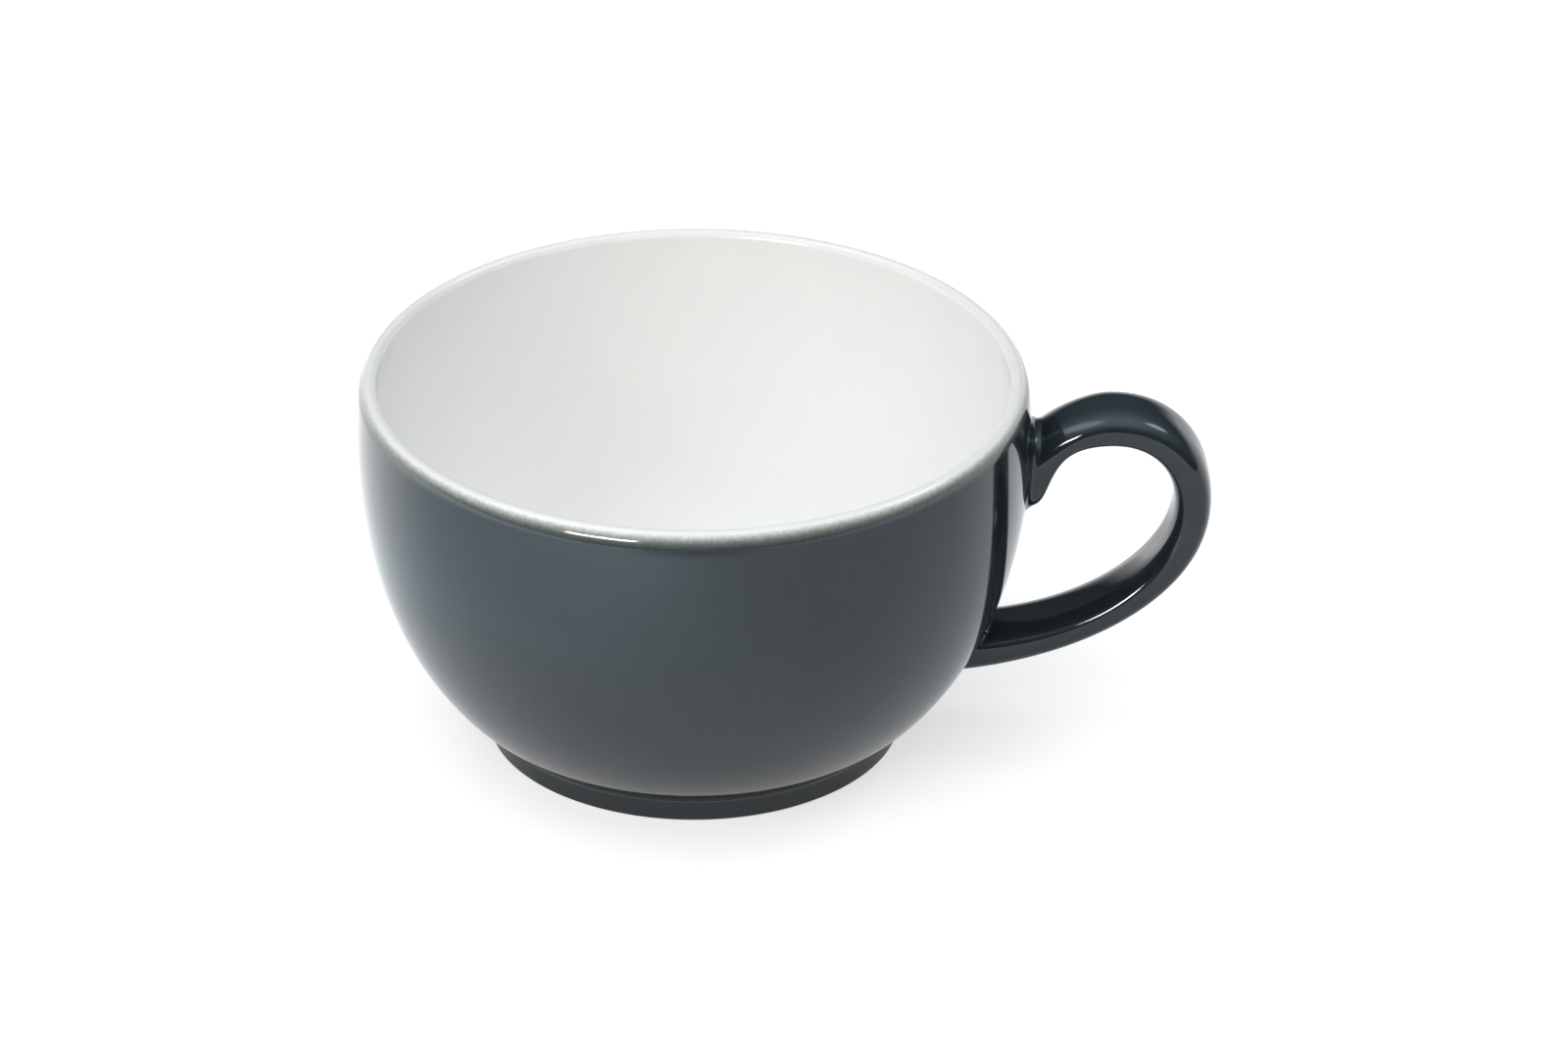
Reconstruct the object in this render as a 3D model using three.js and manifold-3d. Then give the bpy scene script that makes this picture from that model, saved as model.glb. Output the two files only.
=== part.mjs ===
// A two-tone glazed coffee cup: a turned bowl on a foot ring, a loop handle luted to its wall,
// a white glaze inside and over the lip, and a dark glaze outside.
// Millimetres, +Z up. The origin is on the table, under the middle of the cup's overall box,
// and the handle points along +X.
import * as THREE from "three";
import { mergeVertices } from "three/addons/utils/BufferGeometryUtils.js";
import Module from "manifold-3d";

const wasm = await Module();
wasm.setup();

// Bowl outside, measured over the glaze
const CUP_HEIGHT = 60.6;
const BOWL_RADIUS = 52;
const BELLY_DROP = 10.4; // from the rim down to the widest ring
const CURVE_FLAT_RADIUS = 21; // where the belly curve, carried on under the foot, turns level
const CURVE_FLAT_HEIGHT = 0.5;

// Lip
const LIP_RUN = 1.85; // how far the rounding goes inwards from the wall
const LIP_RISE = 2.9; // and how far it goes up
const GLAZE_LINE_DROP = 1.2; // from the rim down to where dark glaze gives way to white

// Bowl inside, measured over the glaze
const WALL = 2.6;
const FLOOR_HEIGHT = 5.8;
const FLOOR_FLAT_RADIUS = 19;

// Foot ring
const FOOT_RADIUS = 32.2;
const FOOT_FILLET = 1.5;
const FOOT_EDGE = 0.5; // rounding of the bare edge that stands on the table
const RECESS_RADIUS = 28.2;
const RECESS_DEPTH = 2.4;
const RECESS_FILLET = 1.2;

// Handle, measured over the glaze, in the plane of the cup's axis
const HANDLE_REACH = 28; // beyond the bowl's widest ring
const HANDLE_REACH_HEIGHT = 39.7;
const HANDLE_CREST_OUT = 12.5; // from the bowl's widest ring out to the crest
const HANDLE_CREST_DROP = 4.8; // from the rim down to the crest
const HANDLE_THICKNESS = 5.85;
const HANDLE_WIDTH = 11.8;
const HANDLE_SQUARENESS = 3; // exponent of the section: 2 is an ellipse, more is squarer
const UPPER_ROOT_TOP_DROP = 10.3; // from the rim down to each edge of the upper root
const UPPER_ROOT_BOTTOM_DROP = 21.5;
const LOWER_ROOT_TOP_HEIGHT = 17.6;
const LOWER_ROOT_BOTTOM_HEIGHT = 10.3;
const ROOT_FILLET = 1.2;

// Slope of each handle edge where it leaves the wall, in degrees above level
const UPPER_ROOT_TOP_SLOPE = 50;
const UPPER_ROOT_BOTTOM_SLOPE = -5;
const LOWER_ROOT_TOP_SLOPE = 3;
const LOWER_ROOT_BOTTOM_SLOPE = 6;

// Fullness of the handle's curves: the length of each tangent as a share of the stretch it spans
const CREST_FULLNESS = 0.58;
const REACH_FULLNESS = 0.6;
const DROP_FULLNESS = 0.51;
const LOWER_ROOT_FULLNESS = 0.56;
const UPPER_ROOT_TOP_FULLNESS = 0.37;
const UPPER_ROOT_BOTTOM_FULLNESS = 0.42;
const OUTER_SHOULDER_FULLNESS = 0.28;
const INNER_SHOULDER_FULLNESS = 1.01;

// Coats, joints and the hairline gaps between separate pieces
const GLAZE = 0.3;
const GLAZE_GAP = 0.05;
const SLIP = 0.4;
const SEAT_GAP = 0.1;
const ROOT_SINK = 2; // how far the handle is drawn on into the wall before it is cut to fit

// Facets
const TURN_STEPS = 40;
const BELLY_STEPS = 10;
const INSIDE_STEPS = 8;
const ARC_STEPS = 3;
const SECTION_STEPS = 16;
const HANDLE_STEPS = 10; // in each of the handle's three stretches
const FILLET_STEPS = 3;
const MERGE_DISTANCE = 1e-3; // vertices nearer than this are one
const HALVINGS = 60; // enough to find a crossing to the last digit

// Values that follow from the sizes above
const CUP_AXIS_X = -HANDLE_REACH / 2;
const BELLY_HEIGHT = CUP_HEIGHT - BELLY_DROP;
const CLAY_DEPTH = GLAZE + GLAZE_GAP;
const BELLY = {
  centre: new THREE.Vector2(CURVE_FLAT_RADIUS, BELLY_HEIGHT),
  run: BOWL_RADIUS - CURVE_FLAT_RADIUS,
  rise: BELLY_HEIGHT - CURVE_FLAT_HEIGHT,
};
const INSIDE = {
  centre: new THREE.Vector2(FLOOR_FLAT_RADIUS, BELLY_HEIGHT),
  run: BOWL_RADIUS - WALL - FLOOR_FLAT_RADIUS,
  rise: BELLY_HEIGHT - FLOOR_HEIGHT,
};

// The value between low and high at which a steadily rising or falling function crosses zero.
function crossing(f, low, high) {
  const rising = f(high) > f(low);
  for (let halving = 0; halving < HALVINGS; halving++) {
    const middle = (low + high) / 2;
    if (f(middle) > 0 === rising) high = middle;
    else low = middle;
  }
  return (low + high) / 2;
}

// A mark is a point of an outline in the (radius, height) half plane, with the direction that
// leads out of the clay there.
function mark(r, z, outR, outZ) {
  return { point: new THREE.Vector2(r, z), out: new THREE.Vector2(outR, outZ) };
}

// A mark on an ellipse. The clay is inside the ellipse when side is 1, and outside when it is -1.
function ellipseMark({ centre, run, rise }, angle, side = 1) {
  const cos = Math.cos(angle);
  const sin = Math.sin(angle);
  const out = new THREE.Vector2(cos / run, sin / rise).normalize().multiplyScalar(side);
  return { point: new THREE.Vector2(centre.x + run * cos, centre.y + rise * sin), out };
}

function ellipseArc(ellipse, from, to, steps, side = 1) {
  return Array.from({ length: steps + 1 }, (_, i) =>
    ellipseMark(ellipse, THREE.MathUtils.lerp(from, to, i / steps), side),
  );
}

function circle(r, z, radius) {
  return { centre: new THREE.Vector2(r, z), run: radius, rise: radius };
}

// The outline moved into the clay by a depth.
function inset(outline, depth) {
  return outline.map(({ point, out }) => point.clone().addScaledVector(out, -depth));
}

// The belly curve's own radius at a height.
function wallRadius(height) {
  const up = (height - BELLY_HEIGHT) / BELLY.rise;
  return BELLY.centre.x + BELLY.run * Math.sqrt(1 - up * up);
}

// Lip rounding that leaves the belly curve without a break and tops out at the rim.
function lipRounding() {
  const startOn = (angle) => {
    const { out } = ellipseMark(BELLY, angle);
    return Math.atan2(out.y * LIP_RISE, out.x * LIP_RUN);
  };
  const topError = (angle) =>
    ellipseMark(BELLY, angle).point.y + LIP_RISE * (1 - Math.sin(startOn(angle))) - CUP_HEIGHT;
  const bend = crossing(topError, 0, Math.PI / 3);
  const start = startOn(bend);
  const centre = ellipseMark(BELLY, bend).point;
  centre.x -= LIP_RUN * Math.cos(start);
  centre.y -= LIP_RISE * Math.sin(start);
  return { bend, start, ellipse: { centre, run: LIP_RUN, rise: LIP_RISE } };
}

const LIP = lipRounding();
const GLAZE_LINE = Math.asin(1 - GLAZE_LINE_DROP / LIP_RISE);
const GLAZE_SEAM = SEAT_GAP / LIP_RUN;

// Outside, from the bare edge of the foot up to the glaze line on the lip.
function outsideOutline() {
  const footReach = (angle) => {
    const { point, out } = ellipseMark(BELLY, angle);
    return point.x + FOOT_FILLET * out.x - FOOT_RADIUS - FOOT_FILLET;
  };
  const springing = crossing(footReach, -Math.PI / 2, 0);
  const { point, out } = ellipseMark(BELLY, springing);
  const hollow = circle(FOOT_RADIUS + FOOT_FILLET, point.y + FOOT_FILLET * out.y, FOOT_FILLET);
  const hollowEnd = Math.atan2(-out.y, -out.x);
  return [
    mark(FOOT_RADIUS, FOOT_EDGE, 1, 0),
    ...ellipseArc(hollow, Math.PI, hollowEnd, ARC_STEPS, -1),
    ...ellipseArc(BELLY, springing, LIP.bend, BELLY_STEPS).slice(1),
    ...ellipseArc(LIP.ellipse, LIP.start, GLAZE_LINE, ARC_STEPS).slice(1),
  ];
}

// Inside, from the glaze line over the lip and down to the middle of the floor.
function insideOutline() {
  const topRadius = LIP.ellipse.centre.x;
  const radiusAt = ({ point, out }) => (CUP_HEIGHT - point.y) / (1 - out.y);
  const lipError = (angle) => {
    const start = ellipseMark(INSIDE, angle, -1);
    return start.point.x - radiusAt(start) * start.out.x - topRadius;
  };
  const innerBend = crossing(lipError, 0, Math.asin((CUP_HEIGHT - BELLY_HEIGHT) / INSIDE.rise));
  const start = ellipseMark(INSIDE, innerBend, -1);
  const radius = radiusAt(start);
  const roll = circle(topRadius, CUP_HEIGHT - radius, radius);
  return [
    ...ellipseArc(LIP.ellipse, GLAZE_LINE + GLAZE_SEAM, Math.PI / 2, ARC_STEPS),
    ...ellipseArc(roll, Math.PI / 2, Math.PI + innerBend, ARC_STEPS).slice(1, -1),
    ...ellipseArc(INSIDE, innerBend, -Math.PI / 2, INSIDE_STEPS, -1),
    mark(0, FLOOR_HEIGHT, 0, 1),
  ];
}

// Recess under the foot, from the middle of its ceiling out to the bare edge of the ring.
function undersideOutline() {
  const corner = circle(RECESS_RADIUS - RECESS_FILLET, RECESS_DEPTH - RECESS_FILLET, RECESS_FILLET);
  return [
    mark(0, RECESS_DEPTH, 0, -1),
    ...ellipseArc(corner, Math.PI / 2, 0, ARC_STEPS, -1),
    mark(RECESS_RADIUS, FOOT_EDGE, -1, 0),
  ];
}

const OUTSIDE_LINE = outsideOutline();
const INSIDE_LINE = insideOutline();
const UNDERSIDE_LINE = undersideOutline();

// A closed profile turned round the cup's axis.
function turned(profile) {
  const geometry = new THREE.LatheGeometry(profile, TURN_STEPS);
  return geometry.rotateX(Math.PI / 2).translate(CUP_AXIS_X, 0, 0);
}

// The wall's outside filled in to the axis, at a depth under the glaze's face.
function filledWall(depth) {
  const wall = inset(OUTSIDE_LINE, depth);
  const foot = new THREE.Vector2(0, wall[0].y);
  const top = new THREE.Vector2(0, wall[wall.length - 1].y);
  return solid(turned([foot, ...wall, top]));
}

// A closed geometry as a solid that can be joined and cut.
function solid(geometry) {
  const bare = new THREE.BufferGeometry();
  bare.setAttribute("position", geometry.getAttribute("position"));
  bare.setIndex(geometry.index);
  const merged = mergeVertices(bare, MERGE_DISTANCE);
  const vertProperties = merged.getAttribute("position").array;
  const triVerts = new Uint32Array(merged.index.array);
  return new wasm.Manifold(new wasm.Mesh({ numProp: 3, vertProperties, triVerts }));
}

function geometryOf(manifold) {
  const { numProp, vertProperties, triVerts } = manifold.getMesh();
  const geometry = new THREE.BufferGeometry();
  const vertices = new THREE.InterleavedBuffer(vertProperties, numProp);
  geometry.setAttribute("position", new THREE.InterleavedBufferAttribute(vertices, 3, 0));
  geometry.setIndex(new THREE.BufferAttribute(triVerts, 1));
  return geometry;
}

// Handle

function direction(degrees) {
  const angle = THREE.MathUtils.degToRad(degrees);
  return new THREE.Vector2(Math.cos(angle), Math.sin(angle));
}

// One edge of the handle in side view: wall to crest, crest to reach, reach to wall.
function handleEdge({ within, upperHeight, upperSlope, leave, shoulder, lowerHeight, lowerSlope }) {
  const upper = new THREE.Vector2(wallRadius(upperHeight), upperHeight);
  const crestHeight = CUP_HEIGHT - HANDLE_CREST_DROP - within;
  const crest = new THREE.Vector2(BOWL_RADIUS + HANDLE_CREST_OUT, crestHeight);
  const reach = new THREE.Vector2(BOWL_RADIUS + HANDLE_REACH - within, HANDLE_REACH_HEIGHT);
  const lower = new THREE.Vector2(wallRadius(lowerHeight), lowerHeight);
  const level = new THREE.Vector2(1, 0);
  const upright = new THREE.Vector2(0, 1);
  const from = (point, way, length) => point.clone().addScaledVector(way, length);
  const rise = crest.x - upper.x;
  const run = reach.x - crest.x;
  const fall = crest.y - reach.y;
  return [
    new THREE.CubicBezierCurve(
      upper,
      from(upper, direction(upperSlope), leave * rise),
      from(crest, level, -shoulder * rise),
      crest,
    ),
    new THREE.CubicBezierCurve(
      crest,
      from(crest, level, CREST_FULLNESS * run),
      from(reach, upright, REACH_FULLNESS * fall),
      reach,
    ),
    new THREE.CubicBezierCurve(
      reach,
      from(reach, upright, -DROP_FULLNESS * (reach.y - lower.y)),
      from(lower, direction(lowerSlope), LOWER_ROOT_FULLNESS * (reach.x - lower.x)),
      lower,
    ),
  ];
}

const OUTER_EDGE = handleEdge({
  within: 0,
  upperHeight: CUP_HEIGHT - UPPER_ROOT_TOP_DROP,
  upperSlope: UPPER_ROOT_TOP_SLOPE,
  leave: UPPER_ROOT_TOP_FULLNESS,
  shoulder: OUTER_SHOULDER_FULLNESS,
  lowerHeight: LOWER_ROOT_BOTTOM_HEIGHT,
  lowerSlope: LOWER_ROOT_BOTTOM_SLOPE,
});
const INNER_EDGE = handleEdge({
  within: HANDLE_THICKNESS,
  upperHeight: CUP_HEIGHT - UPPER_ROOT_BOTTOM_DROP,
  upperSlope: UPPER_ROOT_BOTTOM_SLOPE,
  leave: UPPER_ROOT_BOTTOM_FULLNESS,
  shoulder: INNER_SHOULDER_FULLNESS,
  lowerHeight: LOWER_ROOT_TOP_HEIGHT,
  lowerSlope: LOWER_ROOT_TOP_SLOPE,
});

// A section of the handle has a middle, and a half chord from there to the outer edge.
function sectionAt(stretch, t) {
  const outer = OUTER_EDGE[stretch].getPoint(t);
  const middle = INNER_EDGE[stretch].getPoint(t).add(outer).multiplyScalar(0.5);
  return { middle, half: outer.sub(middle) };
}

// Even steps from one place along a stretch to another, without the last.
function steps(from, to, count) {
  return Array.from({ length: count }, (_, i) => THREE.MathUtils.lerp(from, to, i / count));
}

// The place along a stretch that lies one root fillet away from the wall at its end.
function filletEnd(stretch, wallEnd) {
  const root = sectionAt(stretch, wallEnd).middle;
  const distance = (t) => sectionAt(stretch, t).middle.distanceTo(root) - ROOT_FILLET;
  return crossing(distance, wallEnd, 1 - wallEnd);
}

// Sections from root to root, close together over the fillets.
function handleSections() {
  const upper = filletEnd(0, 0);
  const lower = filletEnd(2, 1);
  const places = [
    [...steps(0, upper, FILLET_STEPS), ...steps(upper, 1, HANDLE_STEPS)],
    steps(0, 1, HANDLE_STEPS),
    [...steps(0, lower, HANDLE_STEPS), ...steps(lower, 1, FILLET_STEPS), 1],
  ];
  return places.flatMap((stretch, i) => stretch.map((t) => sectionAt(i, t)));
}

const SECTIONS = handleSections();

// How much a section swells into the fillet at this distance from the wall.
function filletSwell(distance) {
  const short = Math.max(0, 1 - distance / ROOT_FILLET);
  return ROOT_FILLET * (1 - Math.sqrt(1 - short * short));
}

// The section's outline as a superellipse, in shares of its half chord and half width.
function sectionShape(step) {
  const angle = (2 * Math.PI * step) / SECTION_STEPS;
  const ease = (value) => Math.sign(value) * Math.abs(value) ** (2 / HANDLE_SQUARENESS);
  return new THREE.Vector2(ease(Math.cos(angle)), ease(Math.sin(angle)));
}

const SHAPE = Array.from({ length: SECTION_STEPS }, (_, step) => sectionShape(step));

// The handle's outside at a depth under the glaze's face, with both ends sunk into the wall.
function handleLoft(depth) {
  const first = SECTIONS[0];
  const last = SECTIONS[SECTIONS.length - 1];
  const intoWall = ({ half }, turn) =>
    new THREE.Vector2(-half.y, half.x).setLength(turn * ROOT_SINK);
  const rings = [
    { ...first, middle: first.middle.clone().add(intoWall(first, 1)), swell: ROOT_FILLET },
    ...SECTIONS.map((section) => ({
      ...section,
      swell: Math.max(
        filletSwell(section.middle.distanceTo(first.middle)),
        filletSwell(section.middle.distanceTo(last.middle)),
      ),
    })),
    { ...last, middle: last.middle.clone().add(intoWall(last, -1)), swell: ROOT_FILLET },
  ];
  return solid(loft(rings.map((ring) => sectionPoints(ring, depth))));
}

function sectionPoints({ middle, half, swell }, depth) {
  const grown = half.clone().setLength(half.length() + swell - depth);
  const halfWidth = HANDLE_WIDTH / 2 + swell - depth;
  return SHAPE.map(({ x, y }) => {
    const place = middle.clone().addScaledVector(grown, x);
    return new THREE.Vector3(CUP_AXIS_X + place.x, halfWidth * y, place.y);
  });
}

// A closed skin through rings of points, capped at both ends.
function loft(rings) {
  const count = rings[0].length;
  const points = rings.flat();
  const index = [];
  for (let ring = 0; ring + 1 < rings.length; ring++) {
    for (let step = 0; step < count; step++) {
      const a = ring * count + step;
      const b = ring * count + ((step + 1) % count);
      index.push(a, a + count, b, a + count, b + count, b);
    }
  }
  const end = points.length - count;
  for (let step = 1; step + 1 < count; step++) {
    index.push(0, step, step + 1, end, end + step + 1, end + step);
  }
  return new THREE.BufferGeometry().setFromPoints(points).setIndex(index);
}

// Finishes

function finish(color, roughness) {
  return new THREE.MeshStandardMaterial({ color, roughness, metalness: 0 });
}

const bareClay = () => finish(0xe4dfd4, 0.85);
const driedSlip = () => finish(0xdad4c6, 0.9);
const whiteGlaze = () => finish(0xeff1f0, 0.12);
const darkGlaze = () => finish(0x27313a, 0.1);

// Pieces

// Clay bowl: recess, bare standing ring, belly, lip and inside in one turning.
function bowl() {
  const inner = circle(RECESS_RADIUS + CLAY_DEPTH + FOOT_EDGE, FOOT_EDGE, FOOT_EDGE);
  const outer = circle(FOOT_RADIUS - CLAY_DEPTH - FOOT_EDGE, FOOT_EDGE, FOOT_EDGE);
  const ring = [
    ...ellipseArc(inner, Math.PI, 1.5 * Math.PI, ARC_STEPS),
    ...ellipseArc(outer, 1.5 * Math.PI, 2 * Math.PI, ARC_STEPS),
  ];
  return turned([
    ...inset(UNDERSIDE_LINE, CLAY_DEPTH),
    ...inset(ring.slice(1, -1), 0),
    ...inset(OUTSIDE_LINE, CLAY_DEPTH),
    ...inset(INSIDE_LINE.slice(1), CLAY_DEPTH),
  ]);
}

function insideGlaze() {
  return turned([...inset(INSIDE_LINE, GLAZE).reverse(), ...inset(INSIDE_LINE, 0)]);
}

function undersideGlaze() {
  return turned([...inset(UNDERSIDE_LINE, 0), ...inset(UNDERSIDE_LINE, GLAZE).reverse()]);
}

// Dark coat, with a window where each end of the handle meets the clay.
function outsideGlaze() {
  const face = inset(OUTSIDE_LINE, 0);
  const coat = turned([...face, ...inset(OUTSIDE_LINE, GLAZE).reverse(), face[0]]);
  return geometryOf(solid(coat).subtract(handleLoft(CLAY_DEPTH - SEAT_GAP)));
}

// Depths, under the glaze's face, of the faces in each handle joint from the clay outwards
const SLIP_BACK = CLAY_DEPTH - SEAT_GAP;
const SLIP_FACE = SLIP_BACK - SLIP;
const HANDLE_SEAT = SLIP_FACE - SEAT_GAP;

function handle() {
  return geometryOf(handleLoft(CLAY_DEPTH).subtract(filledWall(HANDLE_SEAT)));
}

// Coat on the handle, a sleeve whose ends stand on the bowl's coat.
function handleGlaze() {
  const sleeve = handleLoft(0).subtract(handleLoft(GLAZE));
  return geometryOf(sleeve.subtract(filledWall(-SEAT_GAP)));
}

// Layers of slip that lute the handle's ends to the clay wall, the lower one first.
function slipLayers() {
  const layer = filledWall(SLIP_FACE).subtract(filledWall(SLIP_BACK));
  const height = (piece) => piece.boundingBox().min[2];
  return handleLoft(CLAY_DEPTH)
    .intersect(layer)
    .decompose()
    .sort((a, b) => height(a) - height(b))
    .map(geometryOf);
}

function piece(name, geometry, material) {
  const mesh = new THREE.Mesh(geometry, material);
  mesh.name = name;
  return mesh;
}

const [lowerSlip, upperSlip] = slipLayers();
const cup = new THREE.Group();
cup.add(
  piece("bowl", bowl(), bareClay()),
  piece("inside_glaze", insideGlaze(), whiteGlaze()),
  piece("outside_glaze", outsideGlaze(), darkGlaze()),
  piece("underside_glaze", undersideGlaze(), darkGlaze()),
  piece("handle", handle(), bareClay()),
  piece("handle_glaze", handleGlaze(), darkGlaze()),
  piece("upper_luting_slip", upperSlip, driedSlip()),
  piece("lower_luting_slip", lowerSlip, driedSlip()),
);

export default cup;
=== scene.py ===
"""A two-tone glazed coffee cup for rendering: smooth coats of glaze over clay, in the CAD frame."""

import math

import bpy
import numpy as np
from mathutils import Matrix


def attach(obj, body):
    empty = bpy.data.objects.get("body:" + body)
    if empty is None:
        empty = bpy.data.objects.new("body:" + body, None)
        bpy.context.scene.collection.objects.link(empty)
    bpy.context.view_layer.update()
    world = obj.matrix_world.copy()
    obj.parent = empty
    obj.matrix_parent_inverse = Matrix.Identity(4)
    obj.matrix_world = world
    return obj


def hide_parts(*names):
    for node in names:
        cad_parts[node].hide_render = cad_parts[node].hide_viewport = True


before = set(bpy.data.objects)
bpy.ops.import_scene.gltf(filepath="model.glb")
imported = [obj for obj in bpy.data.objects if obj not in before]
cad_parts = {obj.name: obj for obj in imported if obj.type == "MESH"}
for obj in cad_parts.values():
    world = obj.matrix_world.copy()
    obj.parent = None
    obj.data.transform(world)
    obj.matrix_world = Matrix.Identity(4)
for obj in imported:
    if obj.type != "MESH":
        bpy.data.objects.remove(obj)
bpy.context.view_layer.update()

MM = 0.001

# Bowl, over the glaze, in millimetres
CUP_HEIGHT = 60.6
BOWL_RADIUS = 52.0
BELLY_HEIGHT = 50.2
CURVE_FLAT_RADIUS = 21.0
CURVE_FLAT_HEIGHT = 0.5
LIP_RUN = 1.85
LIP_RISE = 2.9
GLAZE_LINE_DROP = 1.2
WALL = 2.6
FLOOR_HEIGHT = 5.8
FLOOR_FLAT_RADIUS = 19.0
FOOT_RADIUS = 32.2
FOOT_FILLET = 1.5
FOOT_EDGE = 0.5
RECESS_RADIUS = 28.2
RECESS_DEPTH = 2.4
RECESS_FILLET = 1.2
CUP_AXIS_X = -14.0

# Handle, over the glaze
HANDLE_REACH = 28.0
HANDLE_REACH_HEIGHT = 39.7
HANDLE_CREST_OUT = 12.5
HANDLE_CREST_DROP = 4.8
HANDLE_THICKNESS = 5.85
HANDLE_WIDTH = 11.8
HANDLE_SQUARENESS = 3.0
UPPER_ROOT_TOP_DROP = 10.3
UPPER_ROOT_BOTTOM_DROP = 21.5
LOWER_ROOT_TOP_HEIGHT = 17.6
LOWER_ROOT_BOTTOM_HEIGHT = 10.3
UPPER_FILLET = 1.6
LOWER_FILLET = 1.1
LONGEST_FILLET = 2.6  # how far a fillet may reach along the wall in a sharp notch

# Slope of each handle edge where it leaves the wall, in degrees above level
UPPER_ROOT_TOP_SLOPE = 50
UPPER_ROOT_BOTTOM_SLOPE = -5
LOWER_ROOT_TOP_SLOPE = 3
LOWER_ROOT_BOTTOM_SLOPE = 6

# Fullness of the handle's curves: the length of each tangent as a share of the stretch it spans
CREST_FULLNESS = 0.58
REACH_FULLNESS = 0.6
DROP_FULLNESS = 0.51
LOWER_ROOT_FULLNESS = 0.56
UPPER_ROOT_TOP_FULLNESS = 0.37
UPPER_ROOT_BOTTOM_FULLNESS = 0.42
OUTER_SHOULDER_FULLNESS = 0.28
INNER_SHOULDER_FULLNESS = 1.01

# Coats and joints
GLAZE = 0.3
CLAY_DEPTH = 0.35
SEAT_LIFT = 0.25  # the clay handle's seat above the bowl's glaze
SLIP_LIFT = 0.15
SLIP_BACK = -0.25

# Mesh density
TURN_STEPS = 192
BELLY_STEPS = 72
LIP_STEPS = 28
INSIDE_STEPS = 56
CORNER_STEPS = 10
FLAT_STEPS = 5
SECTION_STEPS = 72
PATH_STEPS = 132
FILLET_STEPS = 9
SEAT_RINGS = 6
SEAM_STEP = 0.04  # a short last step at the glaze line keeps the shading smooth across it
RING_STEPS = 6  # in each rounded edge of the bare ring
SHARP_ANGLE = 50  # degrees: edges sharper than this aren't shaded smooth

# Limits and step counts of the searches for where curves meet
HALVINGS = 60
SAME_POINT = 1e-6
ON_AXIS = 1e-9
EVENING_ROUNDS = 4
PATH_SAMPLES = 4000

# Reach of those searches along the handle, where each of its three curves has the length 1
PROBE = 0.01  # a short way, to find the handle's direction
FILLET_SEARCH = 0.9  # how far from the wall a fillet's upper edge may lie
SEARCH_BACK, SEARCH_ON = 0.3, 0.4  # how far from its end the handle may meet the wall


# Outlines in the (radius, height) half plane


def arc(centre, run, rise, start, end, steps):
    angle = np.linspace(start, end, steps + 1)
    return np.stack([centre[0] + run * np.cos(angle), centre[1] + rise * np.sin(angle)], 1)


BELLY_CENTRE = (CURVE_FLAT_RADIUS, BELLY_HEIGHT)
BELLY_RUN = BOWL_RADIUS - CURVE_FLAT_RADIUS
BELLY_RISE = BELLY_HEIGHT - CURVE_FLAT_HEIGHT
INSIDE_CENTRE = (FLOOR_FLAT_RADIUS, BELLY_HEIGHT)
INSIDE_RUN = BOWL_RADIUS - WALL - FLOOR_FLAT_RADIUS
INSIDE_RISE = BELLY_HEIGHT - FLOOR_HEIGHT


def crossing(error, low, high):
    """Where a steadily rising or falling function crosses zero, for numbers or arrays."""
    low, high = np.broadcast_arrays(np.asarray(low, float), np.asarray(high, float))
    low, high = low.copy(), high.copy()
    rising = error(high) > error(low)
    for _ in range(HALVINGS):
        middle = (low + high) / 2
        over = (error(middle) > 0) == rising
        high = np.where(over, middle, high)
        low = np.where(over, low, middle)
    return (low + high) / 2


def wall_radius(height):
    up = np.clip((height - BELLY_HEIGHT) / BELLY_RISE, -1, 1)
    return BELLY_CENTRE[0] + BELLY_RUN * np.sqrt(1 - up * up)


def belly_point(angle):
    out, up = BELLY_RUN * np.cos(angle), BELLY_RISE * np.sin(angle)
    return np.array([BELLY_CENTRE[0] + out, BELLY_CENTRE[1] + up])


def belly_normal(angle):
    out = np.array([np.cos(angle) / BELLY_RUN, np.sin(angle) / BELLY_RISE])
    return out / np.linalg.norm(out, axis=0)


def lip_start(angle):
    out = belly_normal(angle)
    return np.arctan2(out[1] * LIP_RISE, out[0] * LIP_RUN)


def lip_rounding():
    """Where the lip leaves the belly curve, its first angle and its centre."""
    bend = crossing(
        lambda a: belly_point(a)[1] + LIP_RISE * (1 - np.sin(lip_start(a))) - CUP_HEIGHT,
        0,
        math.pi / 3,
    )
    start = lip_start(bend)
    centre = belly_point(bend) - np.array([LIP_RUN * np.cos(start), LIP_RISE * np.sin(start)])
    return float(bend), float(start), centre


LIP_BEND, LIP_START, LIP_CENTRE = lip_rounding()
GLAZE_LINE = math.asin(1 - GLAZE_LINE_DROP / LIP_RISE)


def join(*parts):
    """Outline stretches put end to end, without the points they share."""
    points = [parts[0]]
    for part in parts[1:]:
        same = np.allclose(points[-1][-1], part[0], atol=SAME_POINT)
        points.append(part[1:] if same else part)
    return np.concatenate(points)


def with_short_end(line):
    """The outline with one more point just before its last."""
    near = line[-1] + SEAM_STEP * (line[-2] - line[-1])
    return np.concatenate([line[:-1], [near], line[-1:]])


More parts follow.
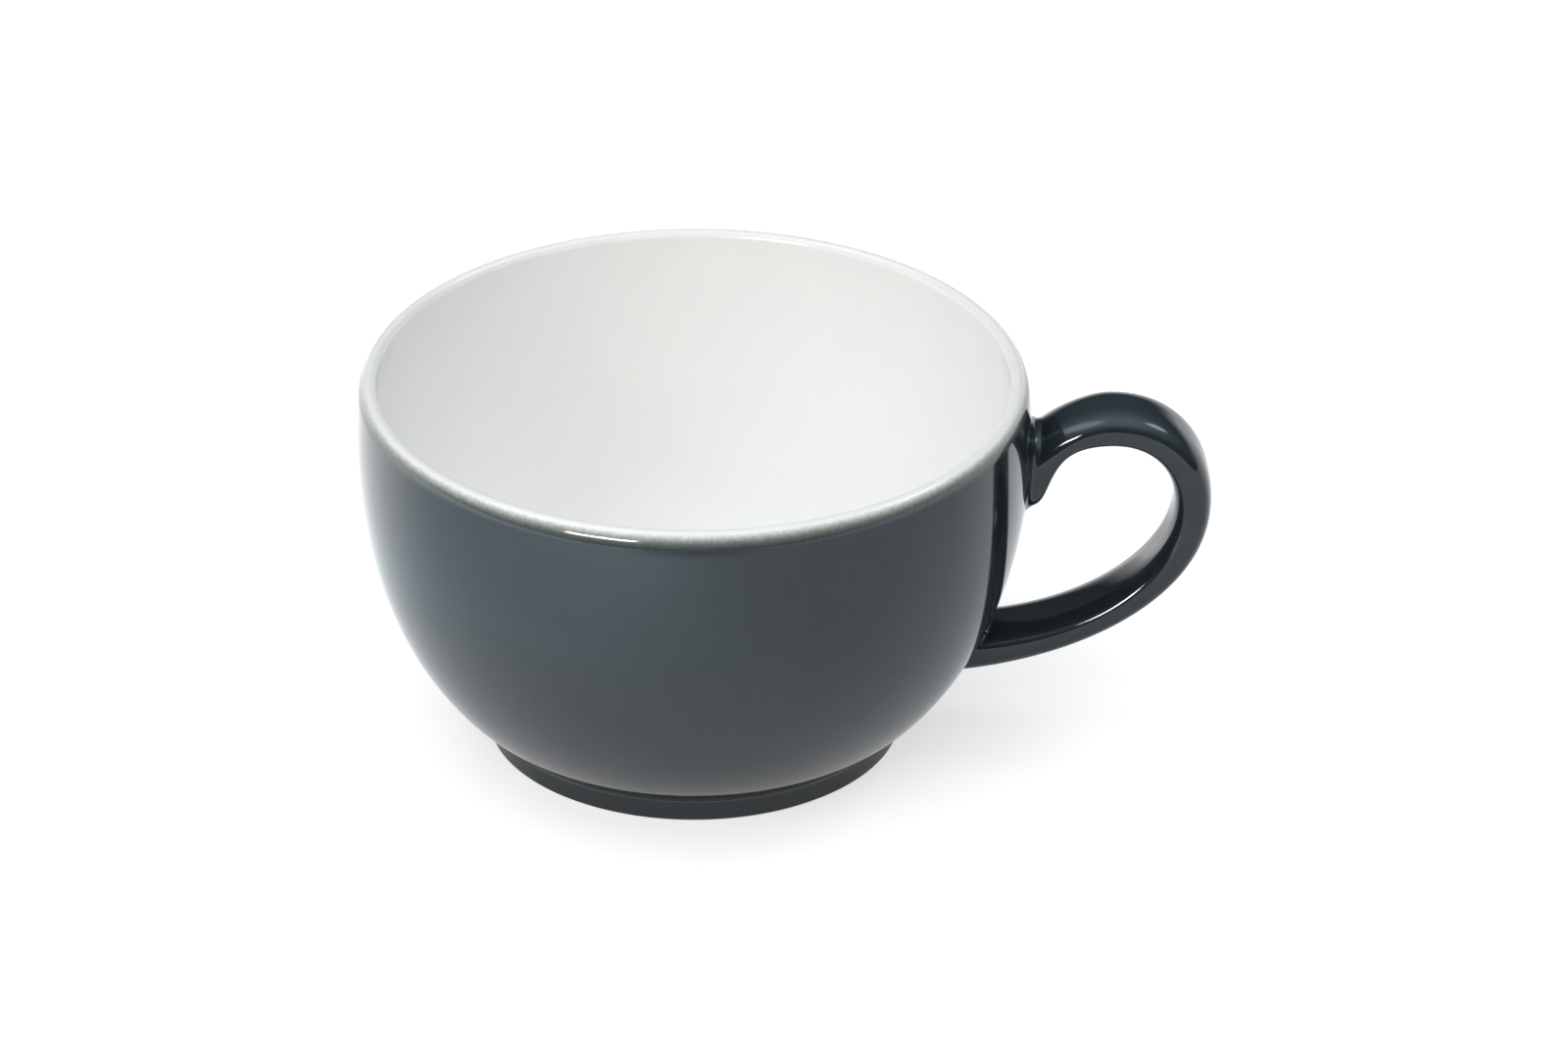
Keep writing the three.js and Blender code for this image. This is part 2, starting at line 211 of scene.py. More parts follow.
def outside_line():
    """From the bare edge of the foot up to the glaze line on the lip."""
    springing = float(
        crossing(
            lambda a: belly_point(a)[0] + FOOT_FILLET * belly_normal(a)[0] - FOOT_RADIUS - FOOT_FILLET,
            -math.pi / 2,
            0,
        )
    )
    out = belly_normal(springing)
    hollow = (FOOT_RADIUS + FOOT_FILLET, belly_point(springing)[1] + FOOT_FILLET * out[1])
    hollow_end = math.atan2(-out[1], -out[0])
    if hollow_end < 0:
        hollow_end += 2 * math.pi
    face = np.array([[FOOT_RADIUS, z] for z in np.linspace(FOOT_EDGE, hollow[1], CORNER_STEPS)])
    line = join(
        face,
        arc(hollow, FOOT_FILLET, FOOT_FILLET, math.pi, hollow_end, CORNER_STEPS),
        arc(BELLY_CENTRE, BELLY_RUN, BELLY_RISE, springing, LIP_BEND, BELLY_STEPS),
        arc(LIP_CENTRE, LIP_RUN, LIP_RISE, LIP_START, GLAZE_LINE, LIP_STEPS),
    )
    return with_short_end(line)


def inside_line():
    """From the glaze line over the lip and down to the middle of the floor."""

    def normal(angle):
        out = np.array([np.cos(angle) / INSIDE_RUN, np.sin(angle) / INSIDE_RISE])
        return -out / np.linalg.norm(out, axis=0)

    def point(angle):
        out, up = INSIDE_RUN * np.cos(angle), INSIDE_RISE * np.sin(angle)
        return np.array([INSIDE_CENTRE[0] + out, INSIDE_CENTRE[1] + up])

    def roll_radius(angle):
        return (CUP_HEIGHT - point(angle)[1]) / (1 - normal(angle)[1])

    highest = math.asin((CUP_HEIGHT - BELLY_HEIGHT) / INSIDE_RISE)
    bend = float(
        crossing(
            lambda a: point(a)[0] - roll_radius(a) * normal(a)[0] - LIP_CENTRE[0],
            0,
            highest - SAME_POINT,
        )
    )
    radius = float(roll_radius(bend))
    out = normal(bend)
    roll_end = math.atan2(out[1], out[0]) % (2 * math.pi)
    roll_centre = (LIP_CENTRE[0], CUP_HEIGHT - radius)
    floor = np.array([[r, FLOOR_HEIGHT] for r in np.linspace(FLOOR_FLAT_RADIUS, 0, FLAT_STEPS + 1)])
    line = join(
        arc(LIP_CENTRE, LIP_RUN, LIP_RISE, GLAZE_LINE, math.pi / 2, LIP_STEPS),
        arc(roll_centre, radius, radius, math.pi / 2, roll_end, LIP_STEPS),
        arc(INSIDE_CENTRE, INSIDE_RUN, INSIDE_RISE, bend, -math.pi / 2, INSIDE_STEPS),
        floor,
    )
    return with_short_end(line[::-1])[::-1]


def underside_line():
    """From the middle of the recess out to the bare edge of the ring."""
    corner = (RECESS_RADIUS - RECESS_FILLET, RECESS_DEPTH - RECESS_FILLET)
    ceiling = np.array([[r, RECESS_DEPTH] for r in np.linspace(0, corner[0], FLAT_STEPS + 1)])
    side = np.array([[RECESS_RADIUS, z] for z in np.linspace(corner[1], FOOT_EDGE, FLAT_STEPS)])
    return join(ceiling, arc(corner, RECESS_FILLET, RECESS_FILLET, math.pi / 2, 0, CORNER_STEPS), side)


def inset(line, depth):
    """The outline moved into the clay, which lies on the left of its direction of travel."""
    step = np.gradient(line, axis=0)
    step /= np.linalg.norm(step, axis=1)[:, None]
    moved = line + depth * np.stack([-step[:, 1], step[:, 0]], 1)
    moved[line[:, 0] == 0, 0] = 0
    return moved


def bead(start, end):
    """A half-round edge from one outline end to the other, bulging away from the coat."""
    middle = (start + end) / 2
    half = start - middle
    bulge = np.array([-half[1], half[0]])
    angle = np.linspace(0, math.pi, CORNER_STEPS)[1:-1]
    return middle + np.outer(np.cos(angle), half) - np.outer(np.sin(angle), bulge)


OUTSIDE = outside_line()
INSIDE = inside_line()
UNDERSIDE = underside_line()


# Meshes, from closed outlines and from rings of points


def signed_volume(points, faces):
    """Six times the volume inside the faces, negative when they look inwards."""
    total = 0.0
    for count in {len(face) for face in faces}:
        corners = points[np.array([face for face in faces if len(face) == count])]
        total += np.sum(corners[:, :1] * np.cross(corners[:, 1:-1], corners[:, 2:]))
    return total


def make_piece(name, points, faces, node, material, rim_drop=None):
    """One closed smooth mesh in place of a CAD node. Points are in millimetres from the cup's axis."""
    points = np.asarray(points, float)
    if signed_volume(points - points.mean(0), faces) < 0:
        faces = [face[::-1] for face in faces]
    placed = (points + [CUP_AXIS_X, 0, 0]) * MM
    mesh = bpy.data.meshes.new(name)
    mesh.from_pydata(placed.tolist(), [], faces)
    mesh.shade_smooth()
    mesh.set_sharp_from_angle(angle=math.radians(SHARP_ANGLE))
    if rim_drop is not None:
        layer = mesh.attributes.new("rim_drop", "FLOAT", "POINT")
        layer.data.foreach_set("value", np.asarray(rim_drop, np.float32))
    mesh.materials.append(material)
    mesh.update()
    piece = bpy.data.objects.new(name, mesh)
    bpy.context.scene.collection.objects.link(piece)
    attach(piece, "root")
    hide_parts(node)
    return piece


def turn(profile, values=None):
    """Points, faces and per-point values of a closed profile turned round the axis."""
    angle = np.arange(TURN_STEPS) * 2 * math.pi / TURN_STEPS
    points, first, carried = [], [], []
    for i, (r, z) in enumerate(profile):
        first.append(len(points))
        count = 1 if r < ON_AXIS else TURN_STEPS
        if count == 1:
            points.append((0, 0, z))
        else:
            points.extend(zip(r * np.cos(angle), r * np.sin(angle), np.full(TURN_STEPS, z)))
        if values is not None:
            carried.extend([values[i]] * count)
    faces = []
    for i in range(len(profile)):
        j = (i + 1) % len(profile)
        on_axis = profile[i][0] < ON_AXIS, profile[j][0] < ON_AXIS
        if all(on_axis):
            continue
        for k in range(TURN_STEPS):
            n = (k + 1) % TURN_STEPS
            if on_axis[0]:
                faces.append((first[i], first[j] + k, first[j] + n))
            elif on_axis[1]:
                faces.append((first[i] + k, first[j], first[i] + n))
            else:
                faces.append((first[i] + k, first[j] + k, first[j] + n, first[i] + n))
    return points, faces, carried


def ring_faces(rings, count, closed=False):
    """Quads between rings of equal count, numbered in order, and back to the first when closed."""
    faces = []
    for ring in range(rings if closed else rings - 1):
        here, there = ring * count, (ring + 1) % rings * count
        for k in range(count):
            n = (k + 1) % count
            faces.append((here + k, there + k, there + n, here + n))
    return faces


# Handle


def direction(degrees):
    return np.array([math.cos(math.radians(degrees)), math.sin(math.radians(degrees))])


def handle_edge(within, upper_height, upper_slope, leave, shoulder, lower_height, lower_slope):
    """One edge in side view, as three cubic curves: wall to crest, crest to reach, reach to wall."""
    upper = np.array([wall_radius(upper_height), upper_height])
    crest = np.array([BOWL_RADIUS + HANDLE_CREST_OUT, CUP_HEIGHT - HANDLE_CREST_DROP - within])
    reach = np.array([BOWL_RADIUS + HANDLE_REACH - within, HANDLE_REACH_HEIGHT])
    lower = np.array([wall_radius(lower_height), lower_height])
    level, upright = np.array([1.0, 0.0]), np.array([0.0, 1.0])
    rise, run, fall = crest[0] - upper[0], reach[0] - crest[0], crest[1] - reach[1]
    drop, back = reach[1] - lower[1], reach[0] - lower[0]
    from_upper = upper + direction(upper_slope) * leave * rise
    to_crest = crest - level * shoulder * rise
    from_crest = crest + level * CREST_FULLNESS * run
    to_reach = reach + upright * REACH_FULLNESS * fall
    from_reach = reach - upright * DROP_FULLNESS * drop
    to_lower = lower + direction(lower_slope) * LOWER_ROOT_FULLNESS * back
    return np.array(
        [
            [upper, from_upper, to_crest, crest],
            [crest, from_crest, to_reach, reach],
            [reach, from_reach, to_lower, lower],
        ]
    )


OUTER_EDGE = handle_edge(
    within=0,
    upper_height=CUP_HEIGHT - UPPER_ROOT_TOP_DROP,
    upper_slope=UPPER_ROOT_TOP_SLOPE,
    leave=UPPER_ROOT_TOP_FULLNESS,
    shoulder=OUTER_SHOULDER_FULLNESS,
    lower_height=LOWER_ROOT_BOTTOM_HEIGHT,
    lower_slope=LOWER_ROOT_BOTTOM_SLOPE,
)
INNER_EDGE = handle_edge(
    within=HANDLE_THICKNESS,
    upper_height=CUP_HEIGHT - UPPER_ROOT_BOTTOM_DROP,
    upper_slope=UPPER_ROOT_BOTTOM_SLOPE,
    leave=UPPER_ROOT_BOTTOM_FULLNESS,
    shoulder=INNER_SHOULDER_FULLNESS,
    lower_height=LOWER_ROOT_TOP_HEIGHT,
    lower_slope=LOWER_ROOT_TOP_SLOPE,
)
PATH_END = 3.0
LAST_STRETCH = 2


def edge_point(edge, place):
    """A point on an edge, whose place runs from 0 to 3, carried on straight past both ends."""
    place = np.asarray(place, float)
    held = np.clip(place, 0, PATH_END)
    stretch = np.minimum(held.astype(int), LAST_STRETCH)
    t = (held - stretch)[..., None]
    p0, p1, p2, p3 = (edge[stretch, i] for i in range(4))
    s = 1 - t
    point = s**3 * p0 + 3 * s * s * t * p1 + 3 * s * t * t * p2 + t**3 * p3
    speed = 3 * (s * s * (p1 - p0) + 2 * s * t * (p2 - p1) + t * t * (p3 - p2))
    return point + speed * (place - held)[..., None]


ANGLE = np.arange(SECTION_STEPS) * 2 * math.pi / SECTION_STEPS


def eased(value):
    return np.sign(value) * np.abs(value) ** (2 / HANDLE_SQUARENESS)


SHAPE_OUT, SHAPE_ACROSS = eased(np.cos(ANGLE)), eased(np.sin(ANGLE))


def skin(place, depth=0.0):
    """Points of the handle's skin, one place for each step round the section."""
    outer, inner = edge_point(OUTER_EDGE, place), edge_point(INNER_EDGE, place)
    middle, half = (outer + inner) / 2, (outer - inner) / 2
    length = np.linalg.norm(half, axis=-1, keepdims=True)
    flat = middle + half * (1 - depth / length) * SHAPE_OUT[:, None]
    across = (HANDLE_WIDTH / 2 - depth) * SHAPE_ACROSS
    return np.stack([flat[..., 0], np.broadcast_to(across, flat[..., 0].shape), flat[..., 1]], -1)


def above_wall(points, lift=0.0):
    return np.hypot(points[..., 0], points[..., 1]) - wall_radius(points[..., 2]) - lift


def on_wall(points, lift=0.0):
    """The points moved along X on to the wall, or to a height above it."""
    radius = wall_radius(points[..., 2]) + lift
    x = np.sqrt(radius**2 - points[..., 1] ** 2)
    return np.stack([x, points[..., 1], points[..., 2]], -1)


def wall_normal(points):
    radius = np.hypot(points[..., 0], points[..., 1])
    out = (radius - BELLY_CENTRE[0]) / BELLY_RUN**2
    up = (points[..., 2] - BELLY_CENTRE[1]) / BELLY_RISE**2
    normal = np.stack([out * points[..., 0] / radius, out * points[..., 1] / radius, up], -1)
    return unit(normal)


def unit(vectors):
    return vectors / np.linalg.norm(vectors, axis=-1, keepdims=True)


def dot(a, b):
    return np.sum(a * b, axis=-1, keepdims=True)


class Root:
    """One end of the handle: where each line of the skin meets the wall, and the fillet there."""

    def __init__(self, end, away, radius):
        self.end, self.away = end, away
        self.meet = self.place_at(0.0)
        knee = skin(self.meet)
        normal = wall_normal(knee)
        tangent = np.roll(knee, -1, 0) - np.roll(knee, 1, 0)
        spread = unit(np.cross(tangent, normal))
        outward = dot(spread, knee - knee.mean(0)).sum() > 0
        spread = spread if outward else -spread
        leave = unit(skin(self.meet + PROBE * away) - knee)
        corner = np.arccos(np.clip(dot(leave, spread), -1, 1))
        reach = np.minimum(radius / np.tan(corner / 2), LONGEST_FILLET)
        reach = smooth_round(reach)
        self.start = crossing(
            lambda place: np.linalg.norm(skin(place) - knee, axis=-1) - reach[:, 0],
            self.meet,
            self.meet + FILLET_SEARCH * away,
        )
        top = skin(self.start)
        foot = on_wall(knee + reach * spread)
        foot_normal = wall_normal(foot)
        along = foot - knee
        along = unit(along - dot(along, foot_normal) * foot_normal)
        down = unit(skin(self.start - PROBE * away) - top)
        pull = 4 / 3 * np.tan((math.pi - corner) / 4) * reach * np.tan(corner / 2)
        t = np.linspace(0, 1, FILLET_STEPS + 1)[:, None, None]
        s = 1 - t
        inner, outer = foot - pull * along, top + pull * down
        self.fillet = s**3 * foot + 3 * s * s * t * inner + 3 * s * t * t * outer + t**3 * top

    def place_at(self, lift, depth=0.0):
        """The place along each line of the skin that lies this far above the wall."""
        found = crossing(
            lambda place: above_wall(skin(place, depth), lift),
            self.end - SEARCH_BACK * self.away,
            self.end + SEARCH_ON * self.away,
        )
        return found + np.zeros(SECTION_STEPS)


def smooth_round(values):
    """Values round a section, evened out over their neighbours."""
    for _ in range(EVENING_ROUNDS):
        values = (np.roll(values, 1, 0) + 2 * values + np.roll(values, -1, 0)) / 4
    return values


UPPER = Root(0.0, 1, UPPER_FILLET)
LOWER = Root(PATH_END, -1, LOWER_FILLET)


def even_places():
    """Shares of the way from root to root that divide the handle's middle line evenly."""
    place = np.linspace(UPPER.start.mean(), LOWER.start.mean(), PATH_SAMPLES)
    middle = (edge_point(OUTER_EDGE, place) + edge_point(INNER_EDGE, place)) / 2
    length = np.concatenate([[0], np.cumsum(np.linalg.norm(np.diff(middle, axis=0), axis=1))])
    even = np.interp(np.linspace(0, length[-1], PATH_STEPS + 1), length, place)
    return (even - even[0]) / (even[-1] - even[0])


def skin_rings(depth, start, end):
    share = even_places()
    return np.stack([skin(start + s * (end - start), depth) for s in share])


def ring_normals(rings):
    around = np.roll(rings, -1, 1) - np.roll(rings, 1, 1)
    along = np.gradient(rings, axis=0)
    return unit(np.cross(around, along))


def capped(rings, lifts):
    """A closed body through rings, each end filled by smaller rings that follow the wall."""
    layers = list(rings)
    for at, lift in ((0, lifts[0]), (-1, lifts[1])):
        edge = rings[at]
        centre = edge.mean(0)
        for share in np.linspace(1, 0, SEAT_RINGS + 1)[1:-1]:
            smaller = on_wall(centre + share * (edge - centre), lift)
            if at == 0:
                layers.insert(0, smaller)
            else:
                layers.append(smaller)
    count = rings.shape[1]
    points = np.concatenate(layers)
    faces = ring_faces(len(layers), count)
    last = (len(layers) - 1) * count
    faces.append(tuple(range(count)))
    faces.append(tuple(range(last + count - 1, last - 1, -1)))
    return points, faces


def sleeve(outer, thickness):
    """A closed coat: the outer rings, and the same rings moved in by a thickness."""
    normals = ring_normals(outer)
    centre = outer.mean(1, keepdims=True)
    if dot(normals, outer - centre).sum() < 0:
        normals = -normals
    inner = outer - thickness * normals
    rings = np.concatenate([outer, inner[::-1]])
    count = outer.shape[1]
    return rings.reshape(-1, 3), ring_faces(len(rings), count, closed=True)


# Materials


def feed(tree, socket, value):
    """Sets an input to a value, or links it to another node's socket."""
    if isinstance(value, bpy.types.NodeSocket):
        tree.links.new(value, socket)
    else:
        socket.default_value = value


def add(tree, kind, inputs=None, **settings):
    """A node with its settings and inputs."""
    node = tree.nodes.new(kind)
    for name, value in settings.items():
        setattr(node, name, value)
    for name, value in (inputs or {}).items():
        feed(tree, node.inputs[name], value)
    return node


def new_material(name):
    material = bpy.data.materials.new(name)
    material.use_nodes = True
    tree = material.node_tree
    tree.nodes.clear()
    return material, tree


def noise(tree, scale, detail, roughness=0.5):
    """Smooth noise: cells to the metre, layers of finer detail, and how strong those are."""
    place = add(tree, "ShaderNodeTexCoord").outputs["Object"]
    node = add(
        tree,
        "ShaderNodeTexNoise",
        {"Vector": place, "Scale": scale, "Detail": detail, "Roughness": roughness},
    )
    return node.outputs["Fac"]


def math_node(tree, operation, a, b):
    return add(tree, "ShaderNodeMath", {0: a, 1: b}, operation=operation).outputs[0]


def between(tree, value, low, high, to_low=0.0, to_high=1.0, smooth=False):
    """The value taken from one range to another, and held at the ends."""
    node = add(
        tree,
        "ShaderNodeMapRange",
        {"Value": value, "From Min": low, "From Max": high, "To Min": to_low, "To Max": to_high},
        interpolation_type="SMOOTHSTEP" if smooth else "LINEAR",
    )
    return node.outputs["Result"]


def mix(tree, factor, a, b):
    node = add(tree, "ShaderNodeMix", data_type="RGBA")
    for name, value in (("Factor", factor), ("A", a), ("B", b)):
        feed(tree, next(s for s in node.inputs if s.name == name and s.enabled), value)
    return next(s for s in node.outputs if s.enabled)


def ramp(tree, value, stops):
    node = add(tree, "ShaderNodeValToRGB", {"Fac": value})
    elements = node.color_ramp.elements
    elements[0].position, elements[0].color = stops[0]
    elements[1].position, elements[1].color = stops[-1]
    for position, colour in stops[1:-1]:
        elements.new(position).color = colour
    return node.outputs["Color"]


def finish_material(tree, colour, roughness, height, strength, ior):
    """A shader with a fine relief, linked to the material's output."""
    normal = add(
        tree, "ShaderNodeBump", {"Height": height, "Strength": strength, "Distance": RELIEF}
    ).outputs["Normal"]
    shader = add(
        tree,
        "ShaderNodeBsdfPrincipled",
        {"Base Color": colour, "Roughness": roughness, "IOR": ior, "Normal": normal},
    )
    output = add(tree, "ShaderNodeOutputMaterial")
    tree.links.new(shader.outputs["BSDF"], output.inputs["Surface"])


# Colours
WHITE = (0.87, 0.872, 0.862, 1)
WHITE_MOTTLE = (0.85, 0.855, 0.848, 1)
WHITE_SPECK = (0.62, 0.6, 0.55, 1)
DARK = (0.0125, 0.0195, 0.024, 1)
DARK_MOTTLE = (0.016, 0.0235, 0.028, 1)
DARK_GRAIN = (0.035, 0.045, 0.052, 1)
CLAY_LIGHT, CLAY_DEEP = (0.76, 0.73, 0.66, 1), (0.64, 0.6, 0.52, 1)
SLIP_LIGHT, SLIP_DEEP = (0.7, 0.66, 0.57, 1), (0.58, 0.54, 0.45, 1)
CLAY_STAIN = (0.42, 0.38, 0.32, 1)

# Noises of the surfaces: cells to the metre, layers of detail, and how strong those are
WHITE_MOTTLE_NOISE = (90, 4, 0.55)
WHITE_SPECK_NOISE = (1400, 1)
WHITE_SHEEN_NOISE = (200, 3)
WHITE_RIPPLE_NOISE = (140, 2)
DARK_MOTTLE_NOISE = (130, 5, 0.6)
DARK_GRAIN_NOISE = (1900, 2)
DARK_SHEEN_NOISE = (240, 3)
DARK_RIPPLE_NOISE = (160, 2)
CLAY_GRAIN_NOISE = (1500, 6, 0.7)
CLAY_STAIN_NOISE = (120, 3)
CLAY_RELIEF_NOISE = (2600, 4)
RIM_WANDER_NOISE = (55, 2)
RIM_GRAIN_NOISE = (1600, 2)

# The stretch of a noise's values over which its mark fades in, and the most it covers
USUAL = (0.3, 0.7)  # where most values lie
WHITE_SPECK_FADE, WHITE_SPECK_SHARE = (0.73, 0.8), 0.12
DARK_GRAIN_FADE, DARK_GRAIN_SHARE = (0.62, 0.78), 0.25
CLAY_GRAIN_FADE = (0.35, 0.7)
CLAY_STAIN_FADE, CLAY_STAIN_SHARE = (0.55, 0.8), 0.4

# Gloss and relief
WHITE_ROUGHNESS = (0.08, 0.12)
DARK_ROUGHNESS = (0.06, 0.1)
CLAY_ROUGHNESS = (0.75, 0.92)
USUAL_IOR, DARK_IOR = 1.5, 1.55
RELIEF = 0.0002  # metres that a full ripple or grain stands up
WHITE_RIPPLE, DARK_RIPPLE, CLAY_RELIEF = 0.1, 0.05, 0.35  # shares of that

# Over the lip the two glazes run into each other through a greenish grey; the pale grey stops before it
# are painted shade on the rim's top
LIP_BLEND_AND_SHADE = [
    (0.0, WHITE),
    # Painted shade: these pale grey stops darken the rim's top against the extra light it catches
    (0.1, (0.76, 0.765, 0.762, 1)),
    (0.29, (0.735, 0.74, 0.738, 1)),
    (0.34, (0.57, 0.583, 0.57, 1)),
    (0.44, (0.335, 0.355, 0.335, 1)),
    (0.51, (0.222, 0.242, 0.226, 1)),
    (0.57, (0.145, 0.16, 0.152, 1)),
    (0.65, (0.1, 0.116, 0.113, 1)),
    (0.76, (0.059, 0.074, 0.077, 1)),
    (0.87, (0.042, 0.055, 0.06, 1)),
    (1.0, DARK),
]
BLEND_FROM, BLEND_TO = -0.8, 2.9  # millimetres below the rim, negative on its inner side
RIM_WANDER, RIM_GRAIN = 0.12, 0.24  # millimetres that the blend's place varies either way
PLAIN_WHITE_ENDS = (0.0, 0.08)  # the stretches of the blend where the plain glazes fade out and in
PLAIN_DARK_STARTS = (0.8, 1.0)
INNER_SHIFT = 0.01  # millimetres that the lip's inner side is counted past its top


def rim_place(tree):
    """How far a point has gone through the blend at the lip: 0 is white, 1 is dark."""
    drop = add(tree, "ShaderNodeAttribute", attribute_name="rim_drop").outputs["Fac"]
    wander = between(tree, noise(tree, *RIM_WANDER_NOISE), 0, 1, -RIM_WANDER, RIM_WANDER)
    grain = between(tree, noise(tree, *RIM_GRAIN_NOISE), 0, 1, -RIM_GRAIN, RIM_GRAIN)
    ragged = math_node(tree, "ADD", wander, grain)
    return between(tree, math_node(tree, "ADD", drop, ragged), BLEND_FROM, BLEND_TO)


def dark_glaze(name="dark_glaze", lip=False):
    material, tree = new_material(name)
    mottle = between(tree, noise(tree, *DARK_MOTTLE_NOISE), *USUAL)
    colour = mix(tree, mottle, DARK, DARK_MOTTLE)
    grain = between(tree, noise(tree, *DARK_GRAIN_NOISE), *DARK_GRAIN_FADE)
    colour = mix(tree, math_node(tree, "MULTIPLY", grain, DARK_GRAIN_SHARE), colour, DARK_GRAIN)
    if lip:
        place = rim_place(tree)
        blend = ramp(tree, place, LIP_BLEND_AND_SHADE)
        colour = mix(tree, between(tree, place, *PLAIN_DARK_STARTS), blend, colour)
    roughness = between(tree, noise(tree, *DARK_SHEEN_NOISE), *USUAL, *DARK_ROUGHNESS)
    ripple = noise(tree, *DARK_RIPPLE_NOISE)
    finish_material(tree, colour, roughness, ripple, DARK_RIPPLE, DARK_IOR)
    return material


def white_glaze():
    material, tree = new_material("white_glaze")
    mottle = between(tree, noise(tree, *WHITE_MOTTLE_NOISE), *USUAL)
    colour = mix(tree, mottle, WHITE, WHITE_MOTTLE)
    speck = between(tree, noise(tree, *WHITE_SPECK_NOISE), *WHITE_SPECK_FADE)
    colour = mix(tree, math_node(tree, "MULTIPLY", speck, WHITE_SPECK_SHARE), colour, WHITE_SPECK)
    place = rim_place(tree)
    # The ramp paints shade on the rim's top, then blends the white into the dark glaze
    into_blend_and_shade = between(tree, place, *PLAIN_WHITE_ENDS)
    colour = mix(tree, into_blend_and_shade, colour, ramp(tree, place, LIP_BLEND_AND_SHADE))
    roughness = between(tree, noise(tree, *WHITE_SHEEN_NOISE), *USUAL, *WHITE_ROUGHNESS)
    ripple = noise(tree, *WHITE_RIPPLE_NOISE)
    finish_material(tree, colour, roughness, ripple, WHITE_RIPPLE, USUAL_IOR)
    return material


def clay(name, light, deep):
    material, tree = new_material(name)
    grain = between(tree, noise(tree, *CLAY_GRAIN_NOISE), *CLAY_GRAIN_FADE)
    colour = mix(tree, grain, light, deep)
    stain = between(tree, noise(tree, *CLAY_STAIN_NOISE), *CLAY_STAIN_FADE)
    colour = mix(tree, math_node(tree, "MULTIPLY", stain, CLAY_STAIN_SHARE), colour, CLAY_STAIN)
    roughness = between(tree, grain, 0, 1, *CLAY_ROUGHNESS)
    relief = noise(tree, *CLAY_RELIEF_NOISE)
    finish_material(tree, colour, roughness, relief, CLAY_RELIEF, USUAL_IOR)
    return material


dark_on_bowl = dark_glaze(lip=True)
dark_plain = dark_glaze("dark_glaze_plain")
white = white_glaze()
bare_clay = clay("bare_clay", CLAY_LIGHT, CLAY_DEEP)
luting_slip = clay("luting_slip", SLIP_LIGHT, SLIP_DEEP)


# Pieces of the bowl


def closed_coat(face, back, start_round=False):
    """A coat's closed profile: out along its face and back under it."""
    under = back[::-1]
    if start_round:
        return np.concatenate([face, under, bead(under[-1], face[0])])
    return np.concatenate([face, under])


def rim_drops(profile, outer_from):
    """Height below the rim, counted negative on the inner side of the lip's top."""
    drop = CUP_HEIGHT - profile[:, 1]
    return np.where(profile[:, 0] >= outer_from, drop, -drop - INNER_SHIFT)


def build_bowl():
    inner = (RECESS_RADIUS + CLAY_DEPTH + FOOT_EDGE, FOOT_EDGE)
    outer = (FOOT_RADIUS - CLAY_DEPTH - FOOT_EDGE, FOOT_EDGE)
    profile = join(
        inset(UNDERSIDE, CLAY_DEPTH),
        arc(inner, FOOT_EDGE, FOOT_EDGE, math.pi, 1.5 * math.pi, RING_STEPS),
        arc(outer, FOOT_EDGE, FOOT_EDGE, 1.5 * math.pi, 2 * math.pi, RING_STEPS),
        inset(OUTSIDE, CLAY_DEPTH),
        inset(INSIDE, CLAY_DEPTH),
    )
    points, faces, _ = turn(profile)
    make_piece("clay_bowl", points, faces, "bowl", bare_clay)


def build_outside():
    profile = closed_coat(OUTSIDE, inset(OUTSIDE, GLAZE), start_round=True)
    points, faces, drops = turn(profile, CUP_HEIGHT - profile[:, 1])
    make_piece(
        "dark_outside_coat", points, faces, "outside_glaze", dark_on_bowl, drops
    )


def build_inside():
    profile = closed_coat(INSIDE, inset(INSIDE, GLAZE))
    points, faces, drops = turn(profile, rim_drops(profile, LIP_CENTRE[0]))
    make_piece("white_inside_coat", points, faces, "inside_glaze", white, drops)


def build_underside():
    face, back = UNDERSIDE, inset(UNDERSIDE, GLAZE)
    profile = np.concatenate([face, bead(face[-1], back[-1]), back[::-1]])
    points, faces, _ = turn(profile)
    make_piece("dark_underside_coat", points, faces, "underside_glaze", dark_plain)


# Pieces of the handle


def build_handle_coat():
    rings = np.concatenate(
        [UPPER.fillet, skin_rings(0, UPPER.start, LOWER.start)[1:-1], LOWER.fillet[::-1]]
    )
    points, faces = sleeve(rings, GLAZE)
    make_piece("dark_handle_coat", points, faces, "handle_glaze", dark_plain)


def build_handle_clay():
    start, end = (root.place_at(SEAT_LIFT, CLAY_DEPTH) for root in (UPPER, LOWER))
    points, faces = capped(skin_rings(CLAY_DEPTH, start, end), (SEAT_LIFT, SEAT_LIFT))
    make_piece("clay_handle", points, faces, "handle", bare_clay)


def build_slip(root, name, node):
    edge = skin(root.place_at(SLIP_LIFT, CLAY_DEPTH), CLAY_DEPTH)
    rings = np.stack([on_wall(edge, SLIP_LIFT), on_wall(edge, SLIP_BACK)])
    points, faces = capped(rings, (SLIP_LIFT, SLIP_BACK))
    make_piece(name, points, faces, node, luting_slip)


build_bowl()
build_outside()
build_inside()
build_underside()
build_handle_coat()
build_handle_clay()
build_slip(UPPER, "slip_upper", "upper_luting_slip")
build_slip(LOWER, "slip_lower", "lower_luting_slip")


# Floor

TABLE_HALF = 4.0  # metres
TABLE_GAP = 0.00005  # keeps the table's face clear of the foot's
TABLE_NOISE = (300, 3)
TABLE_PALE, TABLE_DEEP = (0.6, 0.6, 0.6, 1), (0.58, 0.58, 0.58, 1)
TABLE_UNLIT = (0.04, 0.04, 0.04, 1)
TABLE_WHITENING = 0.6  # added to the pale table for the camera alone

